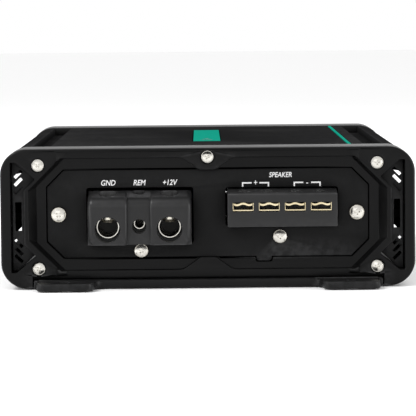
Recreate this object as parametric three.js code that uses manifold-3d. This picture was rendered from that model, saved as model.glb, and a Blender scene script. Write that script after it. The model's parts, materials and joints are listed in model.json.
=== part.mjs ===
// Compact car amplifier: an aluminium heatsink body between two moulded end caps.
// Millimetres, +Z up. The origin is on the ground plane under the middle of the body.
// The connection end (power and speaker terminals) faces -Y, the control end faces +Y.
import * as THREE from 'three';
import { ConvexGeometry } from 'three/addons/geometries/ConvexGeometry.js';
import { mergeVertices } from 'three/addons/utils/BufferGeometryUtils.js';
import Module from 'manifold-3d';

const wasm = await Module();
wasm.setup();

// ---------------------------------------------------------------- driving dimensions
const capWidth = 160;
const bodyHeight = 54;
const bodyLength = 200; // face of one end cap to the face of the other
const gap = 0.3; // free play between pieces that touch
const overcut = 1; // how far a cutter runs past the face that it opens

// End caps
const capDepth = 20;
const capCorner = 10;
const capEdgeBevel = 0.7;
const capSideWall = 3.9;
const capSkin = 1.2;
const rimWall = 1.5;
const windowWidth = 5.2;
const windowLow = 6.2;
const windowTop = 5.2; // below the top of the body
const windowReach = 4.4; // how far the window runs in under each corner plate
const windowLean = 2; // sideways step of the slanted window end
const faceLow = 6.7; // octagonal recess
const faceTop = 3.9; // below the top of the body
const faceChamfer = 12.3;
const faceFloor = 5; // depth of the recess floor behind the corner plates
const faceTaper = 3.2; // how far the recess walls lean in from rim to floor
const barFloor = 3; // depth of the top and bottom bars
const stepInner = 54.5;
const stepOuter = 58.6;
const bossTop = 9.2; // half widths of the tapered screw bosses
const bossTip = 3.4;
const bossEase = 2.4; // length of the curves where a boss leaves its bar
const grooveHeight = 1.6;
const grooveDepth = 3;
const grilleThickness = 2;
const grilleSlot = 1.2;
const grillePitch = 2.8;
const grilleFront = 7; // depth of the front of the grille
const grilleFirst = 7.5; // from the middle of the window to where the slanted slots begin
const grilleRim = 1.2; // solid strip beside the slots
const grilleUpright = 5.6; // half height of the upright slot

// Panels
const panelHalfWidth = 62.2;
const panelLow = 11.4;
const panelTop = 8.6; // below the top of the body
const panelChamfer = 6.6;
const panelRecess = 0.8; // below the recess floor
const panelThickness = 2;
const panelLedge = 7; // overlap of the panel on the ledge behind it
const pocketSide = 0.7; // free space round a terminal block in the panel
const pocketTop = 1.3;
const pocketCorner = 1;
const panelTabX = 21.7;
const panelTabWidth = 6;
const panelTabDrop = 1.8;

// Heatsink extrusion
const sinkInset = 1; // each side lies this far inside the cap outline
const sinkTopInset = 0.2;
const sinkWall = 3.5;
const platformHalf = 61.7;
const platformThickness = 5;
const troughWidth = 7.3;
const troughDepth = 3.2;
const troughFloor = 5.5;
const finSkin = 2.5;
const shoulderDrop = 11; // height of the shoulder above the upper side slot
const finLow = 18.5;
const finHigh = 34.5;
const finWeb = 3;
const footHigh = 12.5;
const footShelf = 10.5;
const ledgeReach = 4; // the ledges inside both walls carry the circuit board
const ledgeThickness = 2;

// Base plate
const baseHalf = 67.5;
const baseThickness = 3.2;
const tabReach = 11;
const tabThickness = 3;
const tabInner = 44;
const tabOuter = 66;
const tabCorner = 3.5;
const tabEase = 5; // curve from the tab's inner flank into the plate's edge
const tabHole = 4.6;

// Screws
const capHead = 4.8;
const panelHead = 5.8;
const blockHead = 5.4;
const headHeight = 1.7;
const recessShare = 0.2; // driver recess radius over head diameter
const crownShare = 0.72; // flat crown radius over head radius
const shankDiameter = 2.6;
const capScrewLength = 25;
const panelScrewLength = 8;
const screwX = 65.4;
const screwLow = 7.7;
const screwTop = 6.3; // below the top of the body
const bossScrewTop = 3.7; // below the top of the body
const panelScrewX = 57.8;
const panelScrewZ = 28.3;
const counterboreDepth = 2;

// Power terminals, measured from the middle of the panel
const powerLeft = -46.3;
const powerRight = -6.3;
const powerLow = 17;
const powerHigh = 37.2;
const powerBrow = 31.2; // where the upright front face ends and the rounded brow starts
const browDepth = 3.8;
const browRise = 4.3;
const powerFront = -4.5; // depth of the front face, negative is proud of the cap
const powerBack = 26;
const podHalf = 7.6;
const remoteSetback = 2.5;
const powerWireX = [-38.6, -14.8];
const powerWireZ = 22.9;
const powerBore = 9.7;
const barrelWall = 0.6;
const barrelSetback = 5;
const barrelLift = 0.8; // the barrel sits this far above the middle of its entry
const remoteX = -26.5;
const remoteZ = 24;
const remoteBore = 5.3;
const setScrewDiameter = 6;
const remoteSetScrewDiameter = 3.2;
const setScrewDepth = 7.6; // along the wire, from the front face to the screw axis
const screwWellDiameter = 7.4;
const remoteWellDiameter = 5.2;
const setScrewTipDrop = 2.6; // how far the tip stands into the barrel at rest
const remoteTipDrop = 1;
const setScrewTop = 35;
const wireStop = 4; // wall left behind each wire bore
const powerScrewX = -25.9;
const powerScrewZ = 14;

// Speaker terminals
const speakerLeft = 7.6;
const speakerRight = 49.8;
const speakerLow = 23.6;
const speakerHigh = 37.6;
const speakerBrow = 35.9;
const speakerBrowDepth = 1.4;
const speakerFront = -4.5;
const speakerFirst = 13.6;
const speakerPitch = 10;
const speakerCount = 4;
const speakerSlotWidth = 8;
const speakerSlotHeight = 3.6;
const speakerSlotZ = 31.2;
const clampWall = 0.6;
const clampOverhang = 0.35; // each side of a clamp reaches this far past its entry
const clampLength = 7;
const clampHeight = 4.6;
const clampSetback = 1.2;
const clampTravel = 1.4; // how far the screw lifts the clamp
const speakerWellDiameter = 3.8;
const clampScrewDiameter = 3;
const speakerScrewX = 27.9;
const speakerScrewZ = 19.1;

// Top trim
const stripX = 56.2;
const stripWidth = 1.2;
const stripDepth = 0.4;
const badgeWidth = 11;
const badgeLength = 92;
const badgeDepth = 0.8;
const badgeProud = 0.2;

// Electronics
const boardMargin = 1.2; // from each long edge of the board to the wall
const boardThickness = 1.6;
const boardZ = 10;
const boardSetback = 3;
const transformerRadius = 17;
const transformerTube = 7;
const transformerPlace = [-25, -25];
const capacitorRadius = 8;
const capacitorHeight = 25;
const capacitorPlace = [10, -45]; // midway between the pair
const capacitorPitch = 24;
const chokeRadius = 9;
const chokeTube = 4;
const chokePlace = [28, 22];
const transistorWidth = 10;
const transistorHeight = 16;
const transistorDepth = 4.5;
const transistorCount = 4;
const transistorPitch = 16;
const clampBarHeight = 6;
const clampBarDepth = 3;
const clampBarBite = 0.1; // the bar presses this far into the transistors

// Control end
const knobRadius = 5;
const knobDepth = 9;
const knobProud = 4;
const knobZ = 33;
const knobFirst = -36;
const knobPitch = 17;
const knobNames = ['gain_knob', 'crossover_knob', 'bass_boost_knob'];
const shaftRadius = 1.6;
const jackRadius = 4.2;
const jackBore = 3;
const jackLength = 9;
const jackX = 33;
const jackPitch = 16;
const jackZ = 28;
const switchX = -36;
const switchZ = 18.5;
const switchWidth = 9;
const switchHeight = 4;
const switchProud = 1.5;
const leverHalf = 1.5;
const sliderThickness = 1.7;
const socketX = -10;
const socketZ = 18.5;
const socketWidth = 11;
const socketHeight = 9;
const lightX = 11;
const lightZ = 36;
const lightRadius = 1.5;

// ---------------------------------------------------------------- derived sizes
const halfWidth = capWidth / 2;
const windowHigh = bodyHeight - windowTop;
const faceHigh = bodyHeight - faceTop;
const panelHigh = bodyHeight - panelTop;
const shoulderLow = bodyHeight - shoulderDrop;
const screwHigh = bodyHeight - screwTop;
const bossScrewZ = bodyHeight - bossScrewTop;
const windowOuter = halfWidth - capSideWall;
const windowInner = windowOuter - windowWidth;
const faceHalf = windowInner - rimWall;
const panelFace = faceFloor + panelRecess;
const panelBack = panelFace + panelThickness;
const sinkHalf = halfWidth - sinkInset;
const sinkTop = bodyHeight - sinkTopInset;
const sinkLength = bodyLength - 2 * (capDepth + gap);
const sinkInner = platformHalf - sinkWall;
const baseTop = baseThickness + gap;
const boardHalf = sinkInner - boardMargin;
const boardTop = boardZ + boardThickness;
const boardLength = sinkLength - 2 * boardSetback;
const finX = sinkHalf - finSkin;
const cellar = sinkTop - platformThickness;
const setScrewY = powerFront + setScrewDepth;
const remoteScrewY = setScrewY + remoteSetback;
const clampFront = speakerFront + clampSetback + gap;
const clampLow = speakerSlotZ - speakerSlotHeight / 2 + 0.15;
const knobFront = panelFace - knobProud;
const switchFront = panelFace - switchProud;

// ---------------------------------------------------------------- mesh helpers
function closedGeometry(geometry) {
  const plain = geometry.clone();
  for (const name of ['normal', 'uv']) {
    plain.deleteAttribute(name);
  }
  const merged = mergeVertices(plain, 1e-4);
  const corners = merged.index.array;
  const kept = [];
  for (let i = 0; i < corners.length; i += 3) {
    const [a, b, c] = corners.slice(i, i + 3);
    if (a !== b && b !== c && c !== a) {
      kept.push(a, b, c);
    }
  }
  merged.setIndex(kept);
  return merged;
}

function solid(geometry) {
  const closed = closedGeometry(geometry);
  return new wasm.Manifold(new wasm.Mesh({
    numProp: 3,
    vertProperties: Float32Array.from(closed.attributes.position.array),
    triVerts: Uint32Array.from(closed.index.array),
  }));
}

function geometryOf(body) {
  const mesh = body.getMesh();
  const geometry = new THREE.BufferGeometry();
  geometry.setAttribute('position', new THREE.BufferAttribute(mesh.vertProperties, 3));
  geometry.setIndex(Array.from(mesh.triVerts));
  return geometry;
}

function cut(body, cutters) {
  return cutters.reduce((rest, cutter) => rest.subtract(cutter), body);
}

function polygon(points) {
  return new THREE.Shape(points.map(([x, y]) => new THREE.Vector2(x, y)));
}

function roundedRectangle(left, right, low, high, radius) {
  const shape = new THREE.Shape();
  shape.absarc(right - radius, high - radius, radius, 0, Math.PI / 2);
  shape.absarc(left + radius, high - radius, radius, Math.PI / 2, Math.PI);
  shape.absarc(left + radius, low + radius, radius, Math.PI, 1.5 * Math.PI);
  shape.absarc(right - radius, low + radius, radius, 1.5 * Math.PI, 2 * Math.PI);
  return shape;
}

function octagon(half, low, high, chamfer) {
  return polygon([
    [-half + chamfer, low], [half - chamfer, low], [half, low + chamfer], [half, high - chamfer],
    [half - chamfer, high], [-half + chamfer, high], [-half, high - chamfer], [-half, low + chamfer],
  ]);
}

// A slab with its outline in the X-Z plane, from depth y0 to depth y1.
function faceSlab(shape, y0, y1, bevel = 0, curveSegments = 8) {
  const geometry = new THREE.ExtrudeGeometry(shape, {
    depth: y1 - y0 - 2 * bevel,
    curveSegments,
    bevelEnabled: bevel > 0,
    bevelThickness: bevel,
    bevelSize: bevel,
    bevelOffset: -bevel,
    bevelSegments: 1,
  });
  geometry.rotateX(Math.PI / 2);
  geometry.translate(0, y1 - bevel, 0);
  return geometry;
}

// A solid between one outline at depth y0 and another at depth y1.
function taperedSlab(shape0, y0, shape1, y1) {
  const corners = [[shape0, y0], [shape1, y1]].flatMap(
    ([shape, y]) => shape.getPoints().map((p) => new THREE.Vector3(p.x, y, p.y)),
  );
  return new ConvexGeometry(corners);
}

// A slab with its outline in the X-Y plane, from height z0 to height z1.
function floorSlab(shape, z0, z1, curveSegments = 6) {
  const geometry = new THREE.ExtrudeGeometry(shape, { depth: z1 - z0, curveSegments, bevelEnabled: false });
  geometry.translate(0, 0, z0);
  return geometry;
}

function block(x0, x1, y0, y1, z0, z1) {
  const geometry = new THREE.BoxGeometry(x1 - x0, y1 - y0, z1 - z0);
  geometry.translate((x0 + x1) / 2, (y0 + y1) / 2, (z0 + z1) / 2);
  return geometry;
}

// A round bar along Y (depth) or along Z (height).
function barY(x, z, y0, y1, radius, sides = 16) {
  const geometry = new THREE.CylinderGeometry(radius, radius, y1 - y0, sides);
  geometry.translate(x, (y0 + y1) / 2, z);
  return geometry;
}

function barZ(x, y, z0, z1, radius, sides = 16) {
  const geometry = new THREE.CylinderGeometry(radius, radius, z1 - z0, sides);
  geometry.rotateX(Math.PI / 2);
  geometry.translate(x, y, (z0 + z1) / 2);
  return geometry;
}

function lathe(points, sides = 16) {
  return closedGeometry(new THREE.LatheGeometry(points.map(([r, y]) => new THREE.Vector2(r, y)), sides));
}

function finish(color, roughness, metalness) {
  return () => new THREE.MeshStandardMaterial({ color, roughness, metalness });
}

const blackCoat = finish(0x232325, 0.45, 0.3);
const blackPlastic = finish(0x1c1c1e, 0.5, 0);
const panelCoat = finish(0x29292b, 0.5, 0.2);
const blockPlastic = finish(0x38383b, 0.55, 0);
const nickel = finish(0xb9b4aa, 0.3, 1);
const screwSteel = finish(0xa9a69e, 0.35, 1);
const brass = finish(0xc9a557, 0.3, 1);
const tealTrim = finish(0x2aa58c, 0.4, 0.2);
const badgeMetal = finish(0x8f9192, 0.35, 0.9);
const boardGreen = finish(0x1f5a3c, 0.6, 0);
const copper = finish(0xa9603a, 0.35, 0.9);
const lightLens = finish(0x9fd8ff, 0.2, 0);

function piece(parent, name, shape, material, position = [0, 0, 0], rotation = [0, 0, 0]) {
  const geometry = shape.isBufferGeometry ? closedGeometry(shape) : geometryOf(shape);
  geometry.computeVertexNormals();
  const mesh = new THREE.Mesh(geometry, material());
  mesh.name = name;
  mesh.position.set(...position);
  mesh.rotation.set(...rotation);
  parent.add(mesh);
  return mesh;
}

const amplifier = new THREE.Group();

// ---------------------------------------------------------------- heatsink body
// The right half of the section runs from the top centre, out around the fins and back inside.
function heatsinkSection() {
  const troughOuter = platformHalf + troughWidth;
  const troughLow = sinkTop - troughDepth;
  const webMiddle = (finLow + finHigh) / 2;
  const wallOuter = sinkInner + sinkWall;
  const corner = capCorner - sinkInset;
  const half = new THREE.Path();
  half.moveTo(0, sinkTop);
  half.lineTo(platformHalf, sinkTop);
  half.lineTo(platformHalf, troughLow);
  half.lineTo(troughOuter, troughLow);
  half.lineTo(troughOuter, sinkTop);
  half.absarc(sinkHalf - corner, sinkTop - corner, corner, Math.PI / 2, 0, true);
  half.lineTo(sinkHalf, shoulderLow);
  half.lineTo(finX, shoulderLow);
  half.lineTo(wallOuter + finSkin, troughLow - troughFloor);
  half.lineTo(wallOuter, troughLow - troughFloor);
  half.lineTo(wallOuter, webMiddle + finWeb / 2);
  half.lineTo(finX, webMiddle + finWeb / 2);
  half.lineTo(finX, finHigh);
  half.lineTo(sinkHalf, finHigh);
  half.lineTo(sinkHalf, finLow);
  half.lineTo(finX, finLow);
  half.lineTo(finX, webMiddle - finWeb / 2);
  half.lineTo(wallOuter, webMiddle - finWeb / 2);
  half.lineTo(wallOuter, footShelf);
  half.lineTo(finX, footShelf);
  half.lineTo(finX, footHigh);
  half.lineTo(sinkHalf, footHigh);
  half.absarc(sinkHalf - corner, corner, corner, 0, -Math.PI / 2, true);
  half.lineTo(baseHalf + gap, 0);
  half.lineTo(baseHalf + gap, baseTop);
  half.lineTo(sinkInner, baseTop);
  half.lineTo(sinkInner, boardZ - gap - ledgeThickness);
  half.lineTo(sinkInner - ledgeReach, boardZ - gap - ledgeThickness);
  half.lineTo(sinkInner - ledgeReach, boardZ - gap);
  half.lineTo(sinkInner, boardZ - gap);
  half.lineTo(sinkInner, cellar);
  half.lineTo(0, cellar);
  const right = half.getPoints(6);
  const left = right.map((point) => new THREE.Vector2(-point.x, point.y)).reverse();
  return new THREE.Shape([...right, ...left.slice(1, -1)]);
}

function heatsink() {
  const body = solid(faceSlab(heatsinkSection(), -sinkLength / 2, sinkLength / 2));
  const strip = solid(block(
    stripX - stripWidth / 2 - gap, stripX + stripWidth / 2 + gap, -sinkLength / 2 - overcut,
    sinkLength / 2 + overcut, sinkTop - stripDepth - gap, sinkTop + overcut,
  ));
  const badge = solid(block(
    -badgeWidth / 2 - gap, badgeWidth / 2 + gap, -badgeLength / 2 - gap, badgeLength / 2 + gap,
    sinkTop - badgeDepth + badgeProud - gap, sinkTop + overcut,
  ));
  return cut(body, [strip, badge, ...sinkScrewHoles()]);
}

// Clearance for the end cap screws, which run into the ends of the extrusion.
function sinkScrewHoles() {
  const holes = [];
  for (const [x, z] of capScrewPlaces()) {
    for (const side of [-1, 1]) {
      const end = side * (sinkLength / 2 + overcut);
      const inner = side * (bodyLength / 2 - barFloor - counterboreDepth - capScrewLength - overcut);
      const radius = shankDiameter / 2 + gap;
      holes.push(solid(barY(x, z, Math.min(end, inner), Math.max(end, inner), radius, 10)));
    }
  }
  return holes;
}

function capScrewPlaces() {
  return [[-screwX, screwHigh], [screwX, screwHigh], [-screwX, screwLow], [screwX, screwLow], [0, bossScrewZ]];
}

// ---------------------------------------------------------------- base plate
function baseOutline() {
  const half = bodyLength / 2;
  const reach = half + tabReach;
  const shape = new THREE.Shape();
  const right = new THREE.Path();
  right.moveTo(0, half);
  right.lineTo(tabInner - tabEase, half);
  right.quadraticCurveTo(tabInner, half, tabInner, half + tabEase);
  right.absarc(tabInner + tabCorner, reach - tabCorner, tabCorner, Math.PI, Math.PI / 2, true);
  right.absarc(tabOuter - tabCorner, reach - tabCorner, tabCorner, Math.PI / 2, 0, true);
  right.lineTo(tabOuter, half);
  right.lineTo(baseHalf, half);
  const quarter = right.getPoints(5);
  const lower = quarter.map((p) => new THREE.Vector2(p.x, -p.y)).reverse();
  const side = [...quarter, ...lower];
  const other = side.map((p) => new THREE.Vector2(-p.x, p.y)).reverse();
  shape.setFromPoints([...side, ...other.slice(1, -1)]);
  return shape;
}

function basePlate() {
  const x = (tabInner + tabOuter) / 2;
  const y = (bodyLength + tabReach) / 2;
  const holes = [[x, y], [-x, y], [x, -y], [-x, -y]].map(
    ([hx, hy]) => solid(barZ(hx, hy, -overcut, baseThickness + overcut, tabHole / 2, 20)),
  );
  const step = bodyLength / 2 + gap;
  const above = step + tabReach + overcut;
  return cut(solid(floorSlab(baseOutline(), 0, baseThickness)), [
    solid(block(-halfWidth, halfWidth, step, above, tabThickness, baseThickness + overcut)),
    solid(block(-halfWidth, halfWidth, -above, -step, tabThickness, baseThickness + overcut)),
    ...holes,
  ]);
}

// ---------------------------------------------------------------- end caps
function windowOutline(side) {
  const slope = windowReach;
  const points = [
    [windowOuter, windowLow], [windowOuter, windowHigh], [windowOuter - windowLean, windowHigh],
    [windowInner - slope, windowHigh - windowLean - slope], [windowInner, windowHigh - windowLean - 2 * slope],
    [windowInner, windowLow + windowLean + 2 * slope], [windowInner - slope, windowLow + windowLean + slope],
    [windowOuter - windowLean, windowLow],
  ];
  return polygon(points.map(([x, z]) => [side * x, z]));
}

function bossOutline(side) {
  const [far, near] = side > 0 ? [faceHigh, panelHigh] : [faceLow, panelLow];
  const root = far + side * overcut;
  const shape = new THREE.Shape();
  shape.moveTo(-bossTop - bossEase, root);
  shape.lineTo(-bossTop - bossEase, far);
  shape.quadraticCurveTo(-bossTop, far, -bossTop + bossEase / 2, far - side * bossEase / 2);
  shape.lineTo(-bossTip - bossEase / 2, near + side * bossEase / 2);
  shape.quadraticCurveTo(-bossTip, near, -bossTip + bossEase / 2, near);
  shape.lineTo(bossTip - bossEase / 2, near);
  shape.quadraticCurveTo(bossTip, near, bossTip + bossEase / 2, near + side * bossEase / 2);
  shape.lineTo(bossTop - bossEase / 2, far - side * bossEase / 2);
  shape.quadraticCurveTo(bossTop, far, bossTop + bossEase, far);
  shape.lineTo(bossTop + bossEase, root);
  return shape;
}

function barCutter(low, high) {
  const outline = polygon([
    [-stepOuter, -overcut], [stepOuter, -overcut], [stepOuter, 0], [stepInner, barFloor],
    [-stepInner, barFloor], [-stepOuter, 0],
  ]);
  return solid(floorSlab(outline, low, high));
}

// The octagonal recess: its side walls lean in towards the floor.
function faceRecess() {
  const lean = faceTaper * overcut / faceFloor;
  const mouth = octagon(faceHalf + lean, faceLow, faceHigh, faceChamfer + lean / 2);
  const floor = octagon(faceHalf - faceTaper, faceLow, faceHigh, faceChamfer - faceTaper / 2);
  return taperedSlab(mouth, -overcut, floor, faceFloor);
}

function endCap() {
  const outline = roundedRectangle(-halfWidth, halfWidth, 0, bodyHeight, capCorner);
  let cap = solid(faceSlab(outline, 0, capDepth, capEdgeBevel));
  const grooveLow = baseTop;
  cap = cut(cap, [
    solid(faceRecess()),
    barCutter(faceHigh - overcut, bodyHeight - capSkin),
    barCutter(grooveLow + grooveHeight, faceLow + overcut),
  ]);
  for (const side of [-1, 1]) {
    cap = cap.add(solid(faceSlab(bossOutline(side), barFloor, faceFloor + overcut)));
  }
  const ledge = panelLedge;
  const holes = capScrewPlaces().flatMap(([x, z]) => {
    const seat = (x === 0 ? barFloor : 0) + counterboreDepth;
    return [
      solid(barY(x, z, -overcut, seat, capHead / 2 + gap, 20)),
      solid(barY(x, z, -overcut, capDepth + overcut, shankDiameter / 2 + gap, 10)),
    ];
  });
  for (const [x, z] of panelScrewPlaces()) {
    holes.push(solid(barY(x, z, panelFace, panelFace + panelScrewLength + overcut, shankDiameter / 2 + gap, 10)));
  }
  return cut(cap, [
    solid(faceSlab(octagon(panelHalfWidth + gap, panelLow - gap, panelHigh + gap, panelChamfer),
      faceFloor - overcut, panelBack + gap)),
    solid(faceSlab(panelTab(gap), faceFloor - overcut, panelBack + gap)),
    solid(faceSlab(octagon(panelHalfWidth - ledge, panelLow + 1, panelHigh - 1, panelChamfer / 2),
      panelFace, capDepth + overcut)),
    solid(faceSlab(windowOutline(1), -overcut, capDepth + overcut)),
    solid(faceSlab(windowOutline(-1), -overcut, capDepth + overcut)),
    solid(block(-baseHalf - gap, baseHalf + gap, -overcut, capDepth + overcut, -overcut, grooveLow)),
    solid(block(-baseHalf - gap, baseHalf + gap, -overcut, grooveDepth, 0, grooveLow + grooveHeight)),
    ...holes,
  ]);
}

// Slats lean the same way as the slanted window ends, mirrored about the middle.
function ventGrille(side) {
  const front = grilleFront;
  const back = front + grilleThickness;
  const outline = windowOutline(side);
  const middle = (windowLow + windowHigh) / 2;
  const inset = outline.getPoints().map((p) => {
    const x = p.x + (Math.abs(p.x) > windowInner + 0.1 ? -side : side) * gap;
    return new THREE.Vector2(x, p.y + (p.y > middle ? -gap : gap));
  });
  let grille = solid(faceSlab(new THREE.Shape(inset), front, back));
  const slotX = side * (windowInner + windowWidth / 2);
  const run = windowWidth - 2 * grilleRim;
  const pitch = grillePitch * 0.75 * Math.SQRT2;
  for (const half of [-1, 1]) {
    for (const step of [1, 2, 3]) {
      const slot = new THREE.BoxGeometry(run * Math.SQRT2, grilleThickness + 2 * overcut, grilleSlot);
      slot.rotateY(side * half * Math.PI / 4);
      slot.translate(slotX, (front + back) / 2, middle + half * (grilleFirst + step * pitch));
      grille = grille.subtract(solid(slot));
    }
  }
  const upright = block(
    slotX - grilleSlot, slotX + grilleSlot, front - overcut, back + overcut,
    middle - grilleUpright, middle + grilleUpright,
  );
  return grille.subtract(solid(upright));
}

// ---------------------------------------------------------------- screws
// Head on -Y, shank towards +Y. The shallow round recess in the head takes the driver.
function screw(headDiameter, length) {
  const head = headDiameter / 2;
  const shank = shankDiameter / 2;
  const recess = headDiameter * recessShare;
  const shoulder = headHeight / 2;
  return lathe([
    [0, -shoulder], [recess, -shoulder], [recess, -headHeight], [head * crownShare, -headHeight],
    [head, -shoulder], [head, 0], [shank, 0], [shank, length - shank], [0, length],
  ], 14);
}

function panelTab(slack) {
  const half = panelTabWidth / 2 + slack;
  const low = panelLow - panelTabDrop - slack;
  return roundedRectangle(panelTabX - half, panelTabX + half, low, panelLow + panelTabDrop, 1);
}

function panelBlank() {
  const plate = solid(faceSlab(octagon(panelHalfWidth, panelLow, panelHigh, panelChamfer), panelFace, panelBack));
  return plate.add(solid(faceSlab(panelTab(0), panelFace, panelBack)));
}

function panelScrewHole(x, z) {
  return solid(barY(x, z, panelFace - overcut, panelBack + overcut, shankDiameter / 2 + gap, 10));
}

// ---------------------------------------------------------------- power terminals
// The side view of a terminal block: an upright front, a rounded brow and a nearly flat top.
function blockSection(front, low, brow, depth, rise, high) {
  const shape = new THREE.Shape();
  shape.moveTo(front, low);
  shape.lineTo(powerBack, low);
  shape.lineTo(powerBack, high);
  shape.lineTo(panelFace, high);
  shape.lineTo(front + depth, brow + rise);
  shape.quadraticCurveTo(front, brow + rise - depth / 3, front, brow);
  return shape;
}

// A prism with its outline in the Y-Z plane, from x0 to x1.
function sideSlab(shape, x0, x1) {
  const geometry = new THREE.ExtrudeGeometry(shape, { depth: x1 - x0, curveSegments: 6, bevelEnabled: false });
  geometry.rotateX(Math.PI / 2);
  geometry.rotateZ(Math.PI / 2);
  geometry.translate(x0, 0, 0);
  return geometry;
}

function powerBlock() {
  const section = (front) => blockSection(front, powerLow, powerBrow, browDepth, browRise, powerHigh);
  const [groundX, positiveX] = powerWireX;
  const inner = [groundX + podHalf, positiveX - podHalf];
  const body = solid(sideSlab(section(powerFront), powerLeft, inner[0]))
    .add(solid(sideSlab(section(powerFront + remoteSetback), inner[0] - gap, inner[1] + gap)))
    .add(solid(sideSlab(section(powerFront), inner[1], powerRight)));
  const wells = [
    [groundX, setScrewY, screwWellDiameter, powerWireZ, powerBore],
    [positiveX, setScrewY, screwWellDiameter, powerWireZ, powerBore],
    [remoteX, remoteScrewY, remoteWellDiameter, remoteZ, remoteBore],
  ];
  const cutters = wells.flatMap(([x, y, well, z, bore]) => [
    solid(barZ(x, y, z, powerHigh + overcut, well / 2, 20)),
    solid(barY(x, z, powerFront - overcut, y - setScrewDepth + barrelSetback + gap, bore / 2, 24)),
    solid(barY(x, z + barrelLift, y - setScrewDepth + barrelSetback - gap, powerBack - wireStop, bore / 2, 24)),
  ]);
  return cut(body, cutters);
}

function wireBarrel(bore, screwDiameter, front, screwY) {
  const outer = bore / 2 - gap;
  const back = powerBack - wireStop - gap;
  const tube = solid(barY(0, 0, front, back, outer, 24));
  return cut(tube, [
    solid(barY(0, 0, front - overcut, back + overcut, outer - barrelWall, 24)),
    solid(barZ(0, screwY, 0, outer + overcut, screwDiameter / 2 + gap, 16)),
  ]);
}

// Stands upright with its tip at the origin.
function setScrew(diameter, length) {
  const radius = diameter / 2;
  return lathe([
    [0, 0], [radius * 0.7, 0], [radius, radius * 0.3], [radius, length], [radius * 0.5, length],
    [radius * 0.5, length - radius], [0, length - radius],
  ], 16).rotateX(Math.PI / 2);
}

// ---------------------------------------------------------------- speaker terminals
function speakerX(index) {
  return speakerFirst + index * speakerPitch;
}

function speakerBlock() {
  const rise = speakerBrowDepth * 0.7;
  const section = blockSection(speakerFront, speakerLow, speakerBrow, speakerBrowDepth, rise, speakerHigh);
  const cutters = [];
  for (let i = 0; i < speakerCount; i += 1) {
    const x = speakerX(i);
    const half = speakerSlotWidth / 2;
    const low = speakerSlotZ - speakerSlotHeight / 2;
    cutters.push(solid(block(x - half, x + half, speakerFront - overcut, clampFront, low, low + speakerSlotHeight)));
    cutters.push(solid(block(
      x - half - clampOverhang - gap, x + half + clampOverhang + gap, clampFront - gap,
      clampFront + clampLength + gap, clampLow - gap, clampLow + clampHeight + clampTravel + gap,
    )));
    cutters.push(solid(barZ(
      x, clampFront + clampLength / 2, speakerSlotZ, speakerHigh + overcut, speakerWellDiameter / 2, 14,
    )));
  }
  return cut(solid(sideSlab(section, speakerLeft, speakerRight)), cutters);
}

// A square ring that the screw lifts to hold the wire.
function speakerClamp() {
  const half = speakerSlotWidth / 2 + clampOverhang;
  const ring = solid(block(-half, half, 0, clampLength, 0, clampHeight));
  return cut(ring, [
    solid(block(
      -half + clampWall, half - clampWall, -overcut, clampLength + overcut, clampWall, clampHeight - clampWall,
    )),
    solid(barZ(0, clampLength / 2, clampHeight / 2, clampHeight + overcut, clampScrewDiameter / 2 + gap, 14)),
  ]);
}

// ---------------------------------------------------------------- control end
function rearPanel() {
  const from = panelFace - overcut;
  const to = panelBack + overcut;
  const holes = knobNames.map((name, i) => solid(barY(knobX(i), knobZ, from, to, knobRadius + gap, 20)));
  const jackHalf = jackPitch / 2 + jackRadius + gap;
  holes.push(
    solid(block(jackX - jackHalf, jackX + jackHalf, from, to, jackZ - jackHalf, jackZ + jackHalf)),
    solid(block(
      switchX - switchWidth / 2, switchX + switchWidth / 2, from, to,
      switchZ - switchHeight / 2, switchZ + switchHeight / 2,
    )),
    solid(block(
      socketX - socketWidth / 2 - gap, socketX + socketWidth / 2 + gap, from, to,
      socketZ - socketHeight / 2 - gap, socketZ + socketHeight / 2 + gap,
    )),
    solid(barY(lightX, lightZ, from, to, lightRadius + gap, 12)),
    ...panelScrewPlaces().map(([x, z]) => panelScrewHole(x, z)),
  );
  return cut(panelBlank(), holes);
}

function knobX(index) {
  return knobFirst + index * knobPitch;
}

// Turns about its own Y axis; the grip is at -Y and the shaft runs inwards.
function knob() {
  const shaftEnd = capDepth + boardSetback;
  const body = solid(lathe([
    [0, 0], [knobRadius - 0.6, 0], [knobRadius, 0.6], [knobRadius, knobDepth], [shaftRadius, knobDepth],
    [shaftRadius, shaftEnd], [0, shaftEnd],
  ], 20));
  const notch = solid(block(-0.5, 0.5, -overcut, 0.8, knobRadius * 0.35, knobRadius + overcut));
  return body.subtract(notch);
}

function jackBlock() {
  const half = jackPitch / 2;
  const wall = half + jackRadius;
  let body = solid(block(
    jackX - wall, jackX + wall, panelFace + gap, capDepth + boardSetback, jackZ - wall, jackZ + wall,
  ));
  const places = [[-half, -half], [half, -half], [-half, half], [half, half]];
  for (const [dx, dz] of places) {
    body = body.add(solid(barY(
      jackX + dx, jackZ + dz, panelFace - jackLength, panelBack + overcut, jackRadius, 20,
    )));
  }
  return cut(body, places.map(([dx, dz]) => solid(barY(
    jackX + dx, jackZ + dz, panelFace - jackLength - overcut, panelBack + overcut, jackBore, 16,
  ))));
}

function switchSlider() {
  const top = switchHeight / 2 - gap;
  const seat = panelBack + gap - switchFront;
  const lever = solid(block(-leverHalf, leverHalf, 0, seat + sliderThickness / 2, -top, top));
  const plate = solid(block(-switchWidth / 2, switchWidth / 2, seat, seat + sliderThickness, -top, top));
  return lever.add(plate);
}

function remoteSocket() {
  const w = socketWidth / 2;
  const h = socketHeight / 2;
  const wall = 1.2;
  const shell = solid(block(-w, w, panelFace - 0.5, capDepth + boardSetback, -h, h));
  const mouth = solid(block(-w + wall, w - wall, panelFace - overcut, capDepth - 2, -h + wall, h - wall));
  return shell.subtract(mouth);
}

// ---------------------------------------------------------------- assembly
function panelScrewPlaces() {
  return [[-panelScrewX, panelScrewZ], [panelScrewX, panelScrewZ]];
}

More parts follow.
